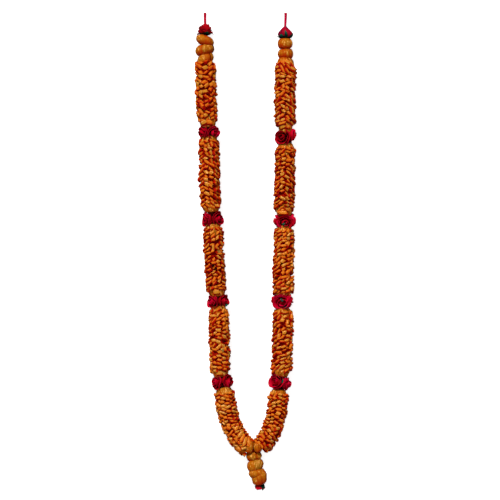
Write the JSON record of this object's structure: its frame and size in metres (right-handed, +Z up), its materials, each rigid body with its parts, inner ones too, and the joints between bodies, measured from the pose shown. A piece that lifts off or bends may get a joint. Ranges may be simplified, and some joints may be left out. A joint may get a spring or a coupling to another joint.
{
  "type": "marigold garland",
  "caption": "Flower garland of strung orange petals with rose bands, golden petal balls and a short pendant, laid flat with its tie tails out.",
  "frame": {"origin": "on the surface that the garland lies on, in the middle of its outline without the tie tails", "axes": "+Y up the garland from its pendant to its tie tails, +X across it to the right strand, +Z up from the surface"},
  "size_m": [0.2123, 1.0039, 0.0419],
  "materials": {
    "petal_orange": "satin",
    "petal_gold": "satin",
    "rose_crimson": "satin",
    "sepal_green": "matte",
    "string_pink": "matte"
  },
  "bodies": {
    "root": {"junction_knot": "string_pink", "left_band_1_rose_1": "rose_crimson", "left_band_1_rose_2": "rose_crimson", "left_band_1_rose_3": "rose_crimson", "left_band_2_rose_1": "rose_crimson", "left_band_2_rose_2": "rose_crimson", "left_band_2_rose_3": "rose_crimson", "left_band_3_rose_1": "rose_crimson", "left_band_3_rose_2": "rose_crimson", "left_band_3_rose_3": "rose_crimson", "left_band_4_rose_1": "rose_crimson", "left_band_4_rose_2": "rose_crimson", "left_band_4_rose_3": "rose_crimson", "left_end_ball": "petal_gold", "left_petal_rope_1": "petal_orange", "left_petal_rope_2": "petal_orange", "left_petal_rope_3": "petal_orange", "left_petal_rope_4": "petal_orange", "left_petal_rope_5": "petal_orange", "left_string": "string_pink", "left_tie_tail": "string_pink", "left_top_ball_1": "petal_gold", "left_top_ball_2": "petal_gold", "left_top_ball_3": "petal_gold", "left_top_rose": "rose_crimson", "left_top_sepals": "sepal_green", "pendant_ball_1": "petal_gold", "pendant_ball_2": "petal_gold", "pendant_ball_3": "petal_gold", "pendant_ball_4": "petal_gold", "pendant_knot": "string_pink", "pendant_rose": "rose_crimson", "pendant_sepals": "sepal_green", "pendant_string": "string_pink", "right_band_1_rose_1": "rose_crimson", "right_band_1_rose_2": "rose_crimson", "right_band_1_rose_3": "rose_crimson", "right_band_2_rose_1": "rose_crimson", "right_band_2_rose_2": "rose_crimson", "right_band_2_rose_3": "rose_crimson", "right_band_3_rose_1": "rose_crimson", "right_band_3_rose_2": "rose_crimson", "right_band_3_rose_3": "rose_crimson", "right_band_4_rose_1": "rose_crimson", "right_band_4_rose_2": "rose_crimson", "right_band_4_rose_3": "rose_crimson", "right_end_ball": "petal_gold", "right_petal_rope_1": "petal_orange", "right_petal_rope_2": "petal_orange", "right_petal_rope_3": "petal_orange", "right_petal_rope_4": "petal_orange", "right_petal_rope_5": "petal_orange", "right_string": "string_pink", "right_tie_tail": "string_pink", "right_top_ball_1": "petal_gold", "right_top_ball_2": "petal_gold", "right_top_ball_3": "petal_gold", "right_top_rose": "rose_crimson", "right_top_sepals": "sepal_green"}
  },
  "joints": []
}
